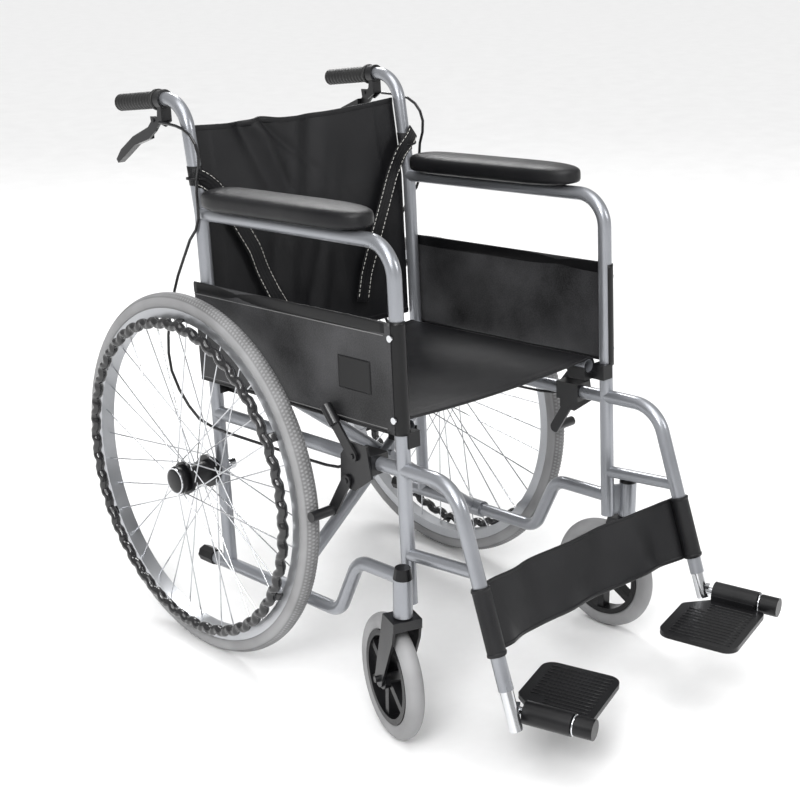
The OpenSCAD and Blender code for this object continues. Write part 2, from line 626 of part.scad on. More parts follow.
// Strap behind the user's calves: flat between the hangers, wrapped round each
calf_z = [203, 294];
module calf_strap() color(black) {
  low = hanger_at(calf_z[0]);
  high = hanger_at(calf_z[1]);
  n = [cos(hanger_lean), -sin(hanger_lean)] * (tube_r + 1);
  t = [cos(hanger_lean), -sin(hanger_lean)] * 2;
  raked() yz_plate(-frame_x, frame_w, [low + n, high + n, high + n + t, low + n + t]);
  for (side = [-1, 1]) on_side(side) raked() translate([frame_x, 0, 0]) yz_straight(low, high, tube_r + 2, 1.7);
}
// Half of the waist belt: a loop on the cane and a strap that hangs in front of the back sling
belt_z = [470, 500];
belt_t = 2;
function belt_points(side) = side < 0
  ? [[frame_x - 14, 485], [150, 400], [105, 300], [70, 240]]
  : [[frame_x - 14, 480], [190, 425], [130, 330], [70, 215]];
// The outline of a strip of width w along points p in a plane, with mitred corners
function strip_dir(p, i) = unit(p[min(i + 1, len(p) - 1)] - p[i] + (i == len(p) - 1 ? p[i] - p[i - 1] : [0, 0]));
function strip_normal(p, i) =
  let (d = strip_dir(p, i), e = i == 0 ? d : unit(p[i] - p[i - 1]), n = [-d[1] - e[1], d[0] + e[0]])
  unit(n) / sqrt((1 + d * e) / 2);
function strip(p, w) = concat(
  [for (i = [0:len(p) - 1]) p[i] + strip_normal(p, i) * w / 2],
  [for (i = [len(p) - 1:-1:0]) p[i] - strip_normal(p, i) * w / 2]);
module belt_strap(side) color(black) on_side(side) raked() difference() {
  union() {
    translate([frame_x, 0, lean_start]) rotate([-lean_back, 0, 0]) translate([0, 0, belt_z[0] - lean_start])
      cylinder(r = tube_r + 0.9, h = belt_z[1] - belt_z[0]);
    translate([0, 5, 0]) rotate([90, 0, 0]) linear_extrude(belt_t) polygon(strip(belt_points(side), 30));
  }
  translate([frame_x, 0, lean_start]) rotate([-lean_back, 0, 0]) cylinder(r = tube_r + 0.05, h = 140);
}

back_post(-1);  // back_post_right
back_post(1);  // back_post_left
arm_tube(-1);  // arm_tube_right
arm_tube(1);  // arm_tube_left
side_rails(-1);  // side_rails_right
side_rails(1);  // side_rails_left
hanger(-1);  // hanger_right
hanger(1);  // hanger_left
plastic_fittings(-1);  // plastic_fittings_right
plastic_fittings(1);  // plastic_fittings_left
push_grip(-1);  // push_grip_right
push_grip(1);  // push_grip_left
lever_clamp(-1);  // lever_clamp_right
lever_clamp(1);  // lever_clamp_left
hand_lever(-1);  // hand_lever_right
hand_lever(1);  // hand_lever_left
brake_cable(-1);  // brake_cable_right
brake_cable(1);  // brake_cable_left
arm_pad(-1);  // arm_pad_right
arm_pad(1);  // arm_pad_left
skirt_panel(-1);  // skirt_panel_right
skirt_panel(1);  // skirt_panel_left
tyre(-1);  // tyre_right
tyre(1);  // tyre_left
rim(-1);  // rim_right
rim(1);  // rim_left
spokes(-1);  // spokes_right
spokes(1);  // spokes_left
hub(-1);  // hub_right
hub(1);  // hub_left
handrim(-1);  // handrim_right
handrim(1);  // handrim_left
axle_and_screws(-1);  // axle_and_screws_right
axle_and_screws(1);  // axle_and_screws_left
caster_fork(-1);  // caster_fork_right
caster_fork(1);  // caster_fork_left
caster_wheel(-1);  // caster_wheel_right
caster_wheel(1);  // caster_wheel_left
caster_tyre(-1);  // caster_tyre_right
caster_tyre(1);  // caster_tyre_left
brake_bracket(-1);  // brake_bracket_right
brake_bracket(1);  // brake_bracket_left
brake_lever(-1);  // brake_lever_right
brake_lever(1);  // brake_lever_left
brake_arm(-1);  // brake_arm_right
brake_arm(1);  // brake_arm_left
footrest_tube(-1);  // footrest_tube_right
footrest_tube(1);  // footrest_tube_left
footplate(-1);  // footplate_right
footplate(1);  // footplate_left
belt_strap(-1);  // belt_strap_right
belt_strap(1);  // belt_strap_left
brace_a();
brace_b();
seat_half(-1);  // seat_half_right
seat_half(1);  // seat_half_left
back_half(-1);  // back_half_right
back_half(1);  // back_half_left
calf_strap();
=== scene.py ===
# %% [markdown]
# # A folding wheelchair
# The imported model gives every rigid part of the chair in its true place: tubes, wheels, forks, brakes
# and the cross brace. This script keeps those parts as they are and gives them their finish, and makes
# anew the parts whose charm is in their surface: tyres, handrims, grips, pads, slings and straps.

# %% Load the frame
import json

import bpy
import numpy as np
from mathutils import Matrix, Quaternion, Vector


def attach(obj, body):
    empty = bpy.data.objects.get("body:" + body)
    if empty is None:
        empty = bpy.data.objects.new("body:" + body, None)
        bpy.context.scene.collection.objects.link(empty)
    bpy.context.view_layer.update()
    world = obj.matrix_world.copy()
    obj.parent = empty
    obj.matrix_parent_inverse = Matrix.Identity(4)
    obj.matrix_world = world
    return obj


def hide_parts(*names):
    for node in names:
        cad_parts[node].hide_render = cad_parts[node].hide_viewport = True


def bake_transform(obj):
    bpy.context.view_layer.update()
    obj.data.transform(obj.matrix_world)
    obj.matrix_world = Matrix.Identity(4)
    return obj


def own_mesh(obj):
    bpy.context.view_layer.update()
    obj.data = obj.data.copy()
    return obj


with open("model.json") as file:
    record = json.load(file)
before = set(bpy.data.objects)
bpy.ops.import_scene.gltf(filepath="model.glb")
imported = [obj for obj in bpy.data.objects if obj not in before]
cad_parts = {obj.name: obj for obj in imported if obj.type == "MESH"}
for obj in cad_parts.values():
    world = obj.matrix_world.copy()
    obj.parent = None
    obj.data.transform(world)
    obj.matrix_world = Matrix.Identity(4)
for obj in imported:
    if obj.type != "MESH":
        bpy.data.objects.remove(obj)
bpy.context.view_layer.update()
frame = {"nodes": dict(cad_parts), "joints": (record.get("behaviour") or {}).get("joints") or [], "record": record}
sides = {"right": -1, "left": 1}

# %% [markdown]
# The side frames lean back by a few degrees, so places on them are easiest to say in the frame's own
# millimetres: across, along from the rear axle, and up from it. One function turns those into metres.

# %% Frame coordinates
mm = 0.001
axle = Vector([j for j in frame["joints"] if j["name"] == "wheel_left"][0]["pos_m"])
wheel_x = axle.x / mm
wheel_r = axle.z / mm
rake = np.radians(3.5)
frame_x = 227.5
tube_r = 11.0
base_l = 447.0
arm_z = 424.5
lean_back = np.radians(7.0)


def raked(x, y, z):
    """Frame millimetres to metres: turn y and z by the rake about the axle, then add the axle's place."""
    x, y, z = np.broadcast_arrays(x, y, z)
    along = axle.y + mm * (y * np.cos(rake) + z * np.sin(rake))
    up = axle.z + mm * (z * np.cos(rake) - y * np.sin(rake))
    return np.stack([mm * x, along, up], -1)


print("rear axle at", tuple(round(v, 4) for v in axle))

# %% [markdown]
# Most new pieces are skins: a grid of points whose neighbours make faces. A skin can close on itself
# along either direction, and its ends can be capped with a fan. The same grid also gives a flat cutting
# pattern in metres, the UV map, so that a weave follows the cloth.

# %% Skin helper
def skin(name, grid, wrap=(False, False), caps=False):
    """Mesh from points of shape (rows, columns, 3). Cell (i, j) is the face between rows i and i+1 and
    columns j and j+1; wrap joins last to first, and caps adds a fan to each end of the rows."""
    rows, cols = grid.shape[:2]
    i, j = np.meshgrid(np.arange(rows - (not wrap[0])), np.arange(cols - (not wrap[1])), indexing="ij")
    near, far = (i, (i + 1) % rows), (j, (j + 1) % cols)
    corners = [near[0] * cols + far[0], near[1] * cols + far[0],
               near[1] * cols + far[1], near[0] * cols + far[1]]
    faces = np.stack(corners, -1).reshape(-1, 4)
    step_u = np.linalg.norm(np.diff(grid, axis=0), axis=-1).mean()
    step_v = np.linalg.norm(np.diff(grid, axis=1), axis=-1).mean()
    pattern = np.stack([np.stack([a * step_u, b * step_v], -1) for a, b in
                        ((i, j), (i + 1, j), (i + 1, j + 1), (i, j + 1))], 2).reshape(-1, 2)
    points = grid.reshape(-1, 3)
    polygons = faces.tolist()
    if caps:
        k = np.arange(cols)
        turn = (k + 1) % cols
        last = (rows - 1) * cols
        points = np.vstack([points, grid[0].mean(0), grid[-1].mean(0)])
        polygons += np.stack([k, turn, np.full(cols, rows * cols)], -1).tolist()
        polygons += np.stack([last + turn, last + k, np.full(cols, rows * cols + 1)], -1).tolist()
        pattern = np.vstack([pattern, np.zeros((6 * cols, 2))])
    mesh = bpy.data.meshes.new(name)
    mesh.from_pydata(points.tolist(), [], polygons)
    mesh.uv_layers.new(name="cut").data.foreach_set("uv", pattern.astype(np.float32).ravel())
    mesh.update()
    if caps or all(wrap):
        face_point = points[[p[0] for p in polygons]]
        a = points[[p[1] for p in polygons]] - face_point
        b = points[[p[2] for p in polygons]] - face_point
        if np.einsum("ij,ij->i", face_point - points.mean(0), np.cross(a, b)).sum() < 0:
            mesh.flip_normals()
    mesh.polygons.foreach_set("use_smooth", np.ones(len(polygons), bool))
    piece = bpy.data.objects.new(name, mesh)
    bpy.context.scene.collection.objects.link(piece)
    return piece


def carried(path, section, up=(0, 0, 1)):
    """Grid for a section carried along a path: side = up x direction, and each section point (a, b)
    lies at path + a * side + b * (direction x side). Path is (rows, 3), section (rows or 1, cols, 2)."""
    way = np.gradient(path, axis=0)
    way /= np.linalg.norm(way, axis=-1, keepdims=True)
    across = np.cross(np.broadcast_to(up, way.shape), way)
    across /= np.linalg.norm(across, axis=-1, keepdims=True)
    over = np.cross(way, across)
    section = np.broadcast_to(section, (len(path),) + section.shape[-2:])
    return path[:, None] + section[..., :1] * across[:, None] + section[..., 1:] * over[:, None]


def rounded(half_a, half_b, power=2.0, count=24):
    """Closed outline |a/half_a|^power + |b/half_b|^power = 1; power 2 is an ellipse and 5 nearly a box."""
    t = np.linspace(0, 2 * np.pi, count, endpoint=False)
    a = np.sign(np.cos(t)) * np.abs(np.cos(t)) ** (2 / power)
    b = np.sign(np.sin(t)) * np.abs(np.sin(t)) ** (2 / power)
    return np.stack([half_a * a, half_b * b], -1)


def smooth_path(points, count):
    """Curve through a few points: each coordinate eased by a natural running average of a fine polyline."""
    points = np.array(points, float)
    length = np.concatenate([[0], np.cumsum(np.linalg.norm(np.diff(points, axis=0), axis=1))])
    fine = np.linspace(0, length[-1], count)
    path = np.stack([np.interp(fine, length, points[:, k]) for k in range(3)], -1)
    for _ in range(count // 5):
        path[1:-1] = (path[:-2] + 2 * path[1:-1] + path[2:]) / 4
    return path


def thicken(piece, thickness, offset=0.0):
    """A wall of even thickness, grown on both sides of the skin unless offset says otherwise."""
    wall = piece.modifiers.new("wall", "SOLIDIFY")
    wall.thickness = thickness
    wall.offset = offset
    return piece


def soften(piece, levels=1):
    """Subdivision, the same in the viewport and the render."""
    smooth = piece.modifiers.new("smooth", "SUBSURF")
    smooth.levels = levels
    smooth.render_levels = levels
    return piece


def joined(name, parts):
    """One piece from several skins, so that what is bolted together is one mesh."""
    with bpy.context.temp_override(active_object=parts[0], selected_editable_objects=parts):
        bpy.ops.object.join()
    parts[0].name = name
    parts[0].data.name = name
    return parts[0]


def settle(piece, body, slot, stands_for=()):
    """Dress a finished piece in its slot's finish and hand it to the body that carries it."""
    piece.data.materials.clear()
    piece.data.materials.append(finishes[slot])
    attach(piece, body)
    if stands_for:
        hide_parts(*stands_for)
    return piece


def recolour(piece, material):
    """Swap the finish of a settled piece for a variant of the same slot."""
    piece.data.materials.clear()
    piece.data.materials.append(material)
    return piece


# %% [markdown]
# The camera stands at the chair's right front corner, about a person's height above the floor, with a
# long lens, so the near wheel is hardly larger than the far one.

# %% Camera
camera_place = Vector((-1.5705, axle.y - 1.8696, 1.2304))
camera_aim = Vector((0.209, axle.y + 0.0306, 0.3828))
camera_roll = np.radians(-0.37)
camera = bpy.data.objects.new("camera", bpy.data.cameras.new("camera"))
camera.location = camera_place
camera.rotation_mode = "QUATERNION"
look = (camera_aim - camera_place).to_track_quat("-Z", "Y")
camera.rotation_quaternion = look @ Quaternion((0, 0, 1), camera_roll)
camera.data.lens = 66.36
camera.data.sensor_width = 36
camera.data.shift_x = -0.0011
camera.data.shift_y = -0.0504
bpy.context.scene.collection.objects.link(camera)
bpy.context.scene.camera = camera
print("camera", round((camera_aim - camera_place).length, 3), "m from its aim")


# %% [markdown]
# The floor and the light are plain and pale. A broad sun reaches the whole floor, so that it stays white
# to the horizon; two square lamps in front and two behind and above draw bright lines along the tubes.
# The sky is white where it is seen and half as strong where it lights, so that black stays black.

# %% Floor and light
def soft_light(name, place, size, power):
    """A square lamp at place, turned to face the chair's middle."""
    lamp = bpy.data.objects.new(name, bpy.data.lights.new(name, "AREA"))
    lamp.data.size = size
    lamp.data.energy = power
    lamp.location = place
    lamp.rotation_euler = (Vector((0, 0, 0.45)) - Vector(place)).to_track_quat("-Z", "Y").to_euler()
    bpy.context.scene.collection.objects.link(lamp)


soft_light("front_right", (-2.6, -1.6, 2.4), 1.1, 60)
soft_light("front_left", (1.2, -3.0, 2.2), 1.0, 26)
soft_light("behind", (1.4, 2.2, 2.8), 1.0, 48)
soft_light("overhead", (0, 0, 3.4), 1.6, 12)
sun = bpy.data.objects.new("broad_light", bpy.data.lights.new("broad_light", "SUN"))
sun.data.energy = 1.9
sun.data.angle = np.radians(50)
sun.rotation_euler = Vector((1.0, 0.9, -2.4)).to_track_quat("-Z", "Y").to_euler()
bpy.context.scene.collection.objects.link(sun)
sky_as_light = 0.5
sky_as_seen = 1.0
world = bpy.data.worlds.new("studio")
world.use_nodes = True
background = world.node_tree.nodes["Background"]
seen = world.node_tree.nodes.new("ShaderNodeLightPath")
strength = world.node_tree.nodes.new("ShaderNodeMapRange")
strength.inputs["To Min"].default_value = sky_as_light
strength.inputs["To Max"].default_value = sky_as_seen
world.node_tree.links.new(seen.outputs["Is Camera Ray"], strength.inputs["Value"])
world.node_tree.links.new(strength.outputs["Result"], background.inputs["Strength"])
background.inputs["Color"].default_value = (1, 1, 1, 1)
bpy.context.scene.world = world
bpy.context.scene.view_settings.view_transform = "Standard"
reach = np.linspace(-120, 120, 3)
ground = np.stack(np.meshgrid(reach, reach, [0.0], indexing="ij"), -1)[:, :, 0]
floor = skin("floor", ground)
print("floor", reach[-1] - reach[0], "m wide")

# %% [markdown]
# Finishes are built from a few steps that repeat: start a shader, read where a point is, lay noise over
# it, and let that noise move the colour, the roughness and the relief. Real paint, rubber and cloth are
# never even, and each gets its own scale: flakes in paint, pores in rubber, threads in cloth.

# %% Finish helpers
def start_finish(name, **sockets):
    """A new material with its shader; each keyword sets the socket of that name, spaces for underlines."""
    material = bpy.data.materials.new(name)
    material.use_nodes = True
    tree = material.node_tree
    shader = tree.nodes["Principled BSDF"]
    for socket, value in sockets.items():
        shader.inputs[socket.replace("_", " ")].default_value = value
    return material, tree, shader


def where(tree, kind="Object", stretch=(1, 1, 1), turn=0.0):
    """The point's place, stretched and turned by a Mapping node."""
    source = tree.nodes.new("ShaderNodeTexCoord").outputs[kind]
    mapping = tree.nodes.new("ShaderNodeMapping")
    mapping.inputs["Scale"].default_value = stretch
    mapping.inputs["Rotation"].default_value = (0, 0, turn)
    tree.links.new(source, mapping.inputs["Vector"])
    return mapping.outputs["Vector"]


def noise(tree, place, scale, detail=3.0):
    """Soft random value from 0 to 1, with that many blobs to the metre."""
    texture = tree.nodes.new("ShaderNodeTexNoise")
    texture.inputs["Scale"].default_value = scale
    texture.inputs["Detail"].default_value = detail
    tree.links.new(place, texture.inputs["Vector"])
    return texture.outputs["Fac"]


def cells(tree, place, scale):
    """Distance to the nearest of random points: pebbles, as on grained skin."""
    texture = tree.nodes.new("ShaderNodeTexVoronoi")
    texture.inputs["Scale"].default_value = scale
    tree.links.new(place, texture.inputs["Vector"])
    return texture.outputs["Distance"]


def threads(tree, place, spacing, direction="X"):
    """Parallel round ribs, one each spacing."""
    texture = tree.nodes.new("ShaderNodeTexWave")
    texture.bands_direction = direction
    texture.inputs["Scale"].default_value = 0.314159 / spacing
    tree.links.new(place, texture.inputs["Vector"])
    return texture.outputs["Fac"]


def mixed(tree, operation, a, b):
    """Two values through a Math node; b may be a plain number."""
    math = tree.nodes.new("ShaderNodeMath")
    math.operation = operation
    tree.links.new(a, math.inputs[0])
    if isinstance(b, (int, float)):
        math.inputs[1].default_value = b
    else:
        tree.links.new(b, math.inputs[1])
    return math.outputs["Value"]


def tint(tree, shader, value, dark, light, start=0.3, end=0.7):
    """Base colour between dark and light as the value goes from start to end."""
    ramp = tree.nodes.new("ShaderNodeValToRGB")
    ramp.color_ramp.elements[0].position = start
    ramp.color_ramp.elements[1].position = end
    ramp.color_ramp.elements[0].color = (*dark, 1)
    ramp.color_ramp.elements[1].color = (*light, 1)
    tree.links.new(value, ramp.inputs["Fac"])
    tree.links.new(ramp.outputs["Color"], shader.inputs["Base Color"])


def polish(tree, shader, value, low, high):
    """Roughness from low to high as the value goes from 0.25 to 0.75."""
    span = tree.nodes.new("ShaderNodeMapRange")
    span.inputs["From Min"].default_value = 0.25
    span.inputs["From Max"].default_value = 0.75
    span.inputs["To Min"].default_value = low
    span.inputs["To Max"].default_value = high
    tree.links.new(value, span.inputs["Value"])
    tree.links.new(span.outputs["Result"], shader.inputs["Roughness"])


def relief(tree, shader, height, depth):
    """Bump of that depth in metres."""
    bump = tree.nodes.new("ShaderNodeBump")
    bump.inputs["Distance"].default_value = depth
    bump.inputs["Strength"].default_value = 1.0
    tree.links.new(height, bump.inputs["Height"])
    tree.links.new(bump.outputs["Normal"], shader.inputs["Normal"])


def hard_finish(name, dark, light, low, high, grain, depth, **sockets):
    """Paint, plastic or metal: broad noise moves colour and roughness, and fine noise makes the grain."""
    material, tree, shader = start_finish(name, **sockets)
    broad = noise(tree, where(tree), 9.0)
    fine = noise(tree, where(tree), grain, 2.0)
    tint(tree, shader,
         mixed(tree, "ADD", mixed(tree, "MULTIPLY", broad, 0.7), mixed(tree, "MULTIPLY", fine, 0.3)),
         dark, light)
    polish(tree, shader, broad, low, high)
    relief(tree, shader, fine, depth)
    return material


def cloth_finish(name, dark, light, spacing, depth, **sockets):
    """Woven cloth: ribs both ways on the cutting pattern, with broad fading over them."""
    material, tree, shader = start_finish(name, **sockets)
    flat = where(tree, "UV")
    weave = mixed(tree, "MULTIPLY", threads(tree, flat, spacing, "X"), threads(tree, flat, spacing, "Y"))
    fade = noise(tree, where(tree), 14.0)
    tint(tree, shader,
         mixed(tree, "ADD", mixed(tree, "MULTIPLY", weave, 0.35), mixed(tree, "MULTIPLY", fade, 0.65)),
         dark, light, 0.2, 0.8)
    polish(tree, shader, fade, 0.36, 0.5)
    relief(tree, shader, weave, depth)
    return material


# %% [markdown]
# The frame is silver powder paint: grey, a little metallic, with a faint orange peel. The rims are
# satin aluminium, the footrest tubes and small hardware are chromed, and the spokes are plain steel.

# %% Metal finishes
finishes = {
    "frame_paint": hard_finish("silver_paint", (0.25, 0.26, 0.28), (0.33, 0.34, 0.365), 0.26, 0.36,
                               900.0, 0.00004, Metallic=0.65, Coat_Weight=0.35, Coat_Roughness=0.12),
    "chrome": hard_finish("chrome_plate", (0.62, 0.63, 0.65), (0.8, 0.81, 0.83), 0.08, 0.2, 700.0, 0.00001,
                          Metallic=1.0),
    "spoke_steel": hard_finish("spoke_steel", (0.55, 0.56, 0.58), (0.7, 0.71, 0.73), 0.2, 0.34,
                               800.0, 0.00001, Metallic=1.0),
    "rim_metal": hard_finish("satin_rim", (0.42, 0.43, 0.45), (0.54, 0.55, 0.57), 0.28, 0.4, 1100.0, 0.00002,
                             Metallic=0.85),
}
print(len(finishes), "metal finishes")

# %% [markdown]
# The black parts differ by touch: glossy coated handrims, dull moulded plastic, powder-coated steel,
# soft rubber grips with a fine grain, and the shiny outer sleeve of the cables. The tyres are a solid
# grey rubber that picks up a little dust, with painted shade darkening the grooves of the tread.

# %% Plastic and rubber finishes
finishes["handrim_black"] = hard_finish("black_coat", (0.006, 0.006, 0.007), (0.014, 0.014, 0.015),
                                        0.16, 0.28, 500.0, 0.00004, Coat_Weight=0.4, Coat_Roughness=0.1)
finishes["black_plastic"] = hard_finish("moulded_plastic", (0.003, 0.003, 0.0035), (0.011, 0.011, 0.012),
                                        0.26, 0.4, 1400.0, 0.00008, Specular_IOR_Level=0.3)
finishes["black_metal"] = hard_finish("black_powder", (0.003, 0.003, 0.004), (0.011, 0.011, 0.012), 0.26, 0.4,
                                      1000.0, 0.00006)
finishes["grip_rubber"] = hard_finish("grip_rubber", (0.004, 0.004, 0.004), (0.012, 0.012, 0.012), 0.4, 0.55,
                                      1500.0, 0.0001)
finishes["cable_black"] = hard_finish("cable_sleeve", (0.005, 0.005, 0.006), (0.012, 0.012, 0.013), 0.2, 0.32,
                                      800.0, 0.00003)
rubber, tree, shader = start_finish("grey_rubber")
dust = noise(tree, where(tree), 900.0, 2.0)
groove = tree.nodes.new("ShaderNodeAttribute")
groove.attribute_name = "groove"
# painted shade: the groove mask takes up to 0.3 off the tone, so the tread's grooves are painted darker
painted_groove_shade = mixed(tree, "MULTIPLY", groove.outputs["Fac"], 0.3)
shade = mixed(tree, "SUBTRACT", noise(tree, where(tree), 9.0), painted_groove_shade)
tint(tree, shader, shade, (0.10, 0.10, 0.10), (0.30, 0.30, 0.305), 0.0, 0.62)
polish(tree, shader, noise(tree, where(tree), 9.0), 0.5, 0.7)
relief(tree, shader, dust, 0.00012)
finishes["tyre_grey"] = rubber
print(len(finishes), "finishes so far")

# %% [markdown]
# The arm pads have a foamed skin with pebbled grain, like the leather of a bag. The slings are black
# nylon: dark, with a faint sheen where light grazes it, and threads that follow the cut of the cloth.
# Webbing is thicker and ribbed, and its edges are sewn with white thread.

# %% Cloth and skin finishes
pad_skin, tree, shader = start_finish("pad_skin", Specular_IOR_Level=0.3)
pebbles = cells(tree, where(tree), 900.0)
tint(tree, shader, noise(tree, where(tree), 12.0), (0.003, 0.003, 0.004), (0.010, 0.010, 0.011))
polish(tree, shader, noise(tree, where(tree), 20.0), 0.3, 0.42)
relief(tree, shader, pebbles, 0.00025)
finishes["pad_vinyl"] = pad_skin
finishes["sling_fabric"] = cloth_finish("sling_nylon", (0.004, 0.004, 0.005), (0.013, 0.013, 0.014), 0.0018,
                                        0.0002, Specular_IOR_Level=0.3)
finishes["webbing"] = cloth_finish("belt_webbing", (0.004, 0.004, 0.005), (0.013, 0.013, 0.014), 0.0026,
                                   0.0004, Specular_IOR_Level=0.25)
guard_vinyl = hard_finish("guard_vinyl", (0.004, 0.004, 0.0045), (0.06, 0.06, 0.063), 0.42, 0.56,
                          480.0, 0.0003, Specular_IOR_Level=0.35)
smooth_vinyl = hard_finish("smooth_vinyl", (0.003, 0.003, 0.0035), (0.006, 0.006, 0.0065), 0.3, 0.42, 1500.0,
                           0.00005, Specular_IOR_Level=0.3)
# painted highlight: pale grey for the thin cords that stand in for the light caught along the guard's hem edges
hem_highlight_cord = hard_finish("painted_hem_highlight", (0.1, 0.1, 0.1), (0.2, 0.2, 0.2), 0.4, 0.6, 1500.0, 0.0001)
white_thread = hard_finish("white_thread", (0.55, 0.54, 0.5), (0.75, 0.74, 0.7), 0.6, 0.8, 1500.0, 0.0001)
pale_floor = hard_finish("pale_floor", (0.86, 0.86, 0.86), (0.9, 0.9, 0.9), 0.6, 0.8, 60.0, 0.0001)
floor.data.materials.append(pale_floor)
print(len(finishes), "finishes in all")

# %% [markdown]
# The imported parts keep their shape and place. Each takes the finish that its slot in the record names.

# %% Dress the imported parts
for part in frame["record"]["subparts"]:
    shape = frame["nodes"][part["node"]]
    shape.data.materials.clear()
    shape.data.materials.append(finishes[part["material_slot"]])

# %% [markdown]
# A solid tyre is cast in one mould: smooth side walls, and a tread of small blocks. It could be a plain
# ring with a bump, but the blocks show against the light at the tyre's edge, so they are real: the ring's
# section is pushed out and in by square waves round the wheel and across the tread.

# %% Tyres
tyre_r = 15.5
rim_r = 281.0
tyre_mid = wheel_r - tyre_r
tread_blocks = 300
tread_edge = 0.96
row_angle = 0.43
groove_depth = 1.2


def ring_points(radius, out, angle, side_way, x, centre_y, centre_z):
    """Point at a radius and an offset along the axle: (x, radius cos angle, radius sin angle)."""
    across = mm * (x + out) * side_way
    return np.stack(np.broadcast_arrays(across, centre_y + mm * radius * np.cos(angle),
                                        centre_z + mm * radius * np.sin(angle)), -1)


def tyre_grid(way):
    """Section circle of radius tyre_r, held above the rim, less 1.2 mm where a groove of the tread runs:
    grooves cross the tread once for each block, shifted by half a block between its rows. The second
    result is 1 in the grooves and 0 elsewhere, for the painted shade that darkens them."""
    angle = np.linspace(0, 2 * np.pi, tread_blocks * 4, endpoint=False)[:, None] + 1e-6
    turn = np.linspace(-np.pi, np.pi, 44, endpoint=False)[None, :]
    row = np.floor((turn + tread_edge) / row_angle)
    tread = (np.abs(turn) < tread_edge) * 1.0
    phase = angle * tread_blocks / (2 * np.pi) + 0.5 * (row % 2)
    groove = tread * ((phase % 1) < 0.45)
    lane = tread * (((turn + tread_edge) / row_angle % 1) < 0.3)
    cut = np.maximum(groove, lane)
    depth = groove_depth * cut
    radius = np.maximum(tyre_mid + (tyre_r - depth) * np.cos(turn), rim_r - 0.5)
    return ring_points(radius, (tyre_r - depth) * np.sin(turn), angle, way, wheel_x, axle.y, axle.z), cut


for side, way in sides.items():
    grid, cut = tyre_grid(way)
    tyre = skin(f"tyre_tread_{side}", grid, wrap=(True, True))
    # the groove mask, which the tyre's finish reads to paint shade into the grooves
    groove_shade_mask = tyre.data.attributes.new("groove", "FLOAT", "POINT")
    groove_shade_mask.data.foreach_set("value", cut.astype(np.float32).ravel())
    settle(tyre, f"wheel_{side}", "tyre_grey", [f"tyre_{side}"])
print("tyre faces", len(tyre.data.polygons))

# %% [markdown]
# The handrim is a coated ring with a wavy finger grip, held by six clips. The ring is a circle carried
# round the wheel on a line that snakes in and out; each clip is a bent strip from the rim to the ring.

# %% Handrims
handrim_r = 259.0
handrim_out = 27.5
handrim_tube = 10.0
grip_waves = 48
clip_count = 6


def handrim_grid(way):
    """A tube of radius about 8 mm whose centre line snakes in and out by 2.6 mm, once for each finger wave;
    the tube itself swells a little at the crests."""
    angle = np.linspace(0, 2 * np.pi, grip_waves * 12, endpoint=False)[:, None]
    turn = np.linspace(0, 2 * np.pi, 22, endpoint=False)[None, :]
    wave = np.sin(grip_waves * angle)
    section = handrim_tube - 2.2 + 0.7 * np.cos(2 * grip_waves * angle)
    radius = handrim_r + 2.6 * wave + section * np.cos(turn)
    return ring_points(radius, handrim_out + section * np.sin(turn), angle, way, wheel_x, axle.y, axle.z)


def clip_grid(way, angle):
    """A strip 15 mm wide that leaves the rim's face and curls over to the ring, rounded at its edges."""
    t = np.linspace(0, 1, 9)
    radius = 267.0 - 5.0 * t ** 2
    out = 12.6 + (handrim_out - 5.0 - 12.6) * t
    path = ring_points(radius, out, np.full_like(t, angle), way, wheel_x, axle.y, axle.z)
    tangent = (0, -np.sin(angle), np.cos(angle))
    return carried(path, mm * rounded(2.4, 7.5, 4.0, 20)[None], up=tangent)


for side, way in sides.items():
    hoop = [skin("hoop", handrim_grid(way), wrap=(True, True))]
    for k in range(clip_count):
        hoop.append(skin("clip", clip_grid(way, np.radians(60 * k + 30)), wrap=(False, True), caps=True))
    settle(joined(f"handrim_wavy_{side}", hoop), f"wheel_{side}", "handrim_black", [f"handrim_{side}"])
print("handrim waves", grip_waves)

# %% [markdown]
# Small rings and collars turn up all over the chair: hub flanges, washers, ties and caps. They are all
# one shape, an outline turned round an axis, so one helper makes them.

# %% Turned pieces
def turned(name, centre, axis, outline, count=40):
    """Outline of (distance along the axis, radius) in mm turned about the axis through centre; the two
    ends close on the axis."""
    axis = np.array(axis, float) / np.linalg.norm(axis)
    side_a = np.cross(axis, (0.3, 0.5, 0.81))
    side_a /= np.linalg.norm(side_a)
    side_b = np.cross(axis, side_a)
    outline = mm * np.array(outline, float)
    angle = np.linspace(0, 2 * np.pi, count, endpoint=False)
    round_a = np.cos(angle)[None, :, None] * side_a
    round_b = np.sin(angle)[None, :, None] * side_b
    grid = np.array(centre) + outline[:, :1, None] * axis + outline[:, 1:, None] * (round_a + round_b)
    return skin(name, grid, wrap=(False, True), caps=True)


# %% [markdown]
# The first of them is the low black dome over the outer end of each wheel's axle.

# %% Hub caps
dome = [(-12.0, 20), (-12.0, 22.8), (0, 23.2), (3.5, 22.4), (5.5, 20.0), (6.6, 15.0), (7.4, 8.0), (7.6, 2.0)]
for side, way in sides.items():
    centre = (way * mm * (wheel_x + 38.5), axle.y, axle.z)
    settle(turned(f"hub_cap_{side}", centre, (way, 0, 0), dome), f"frame_{side}", "black_plastic")
print("hub caps", [round(2 * radius, 1) for along, radius in dome[1:3]], "mm wide")

# %% [markdown]
# The push grips are rubber sleeves moulded with rings for the fingers, a stop at the front and a round
# end. The outline of one grip is a row of small bulges, turned round the handle's tube.

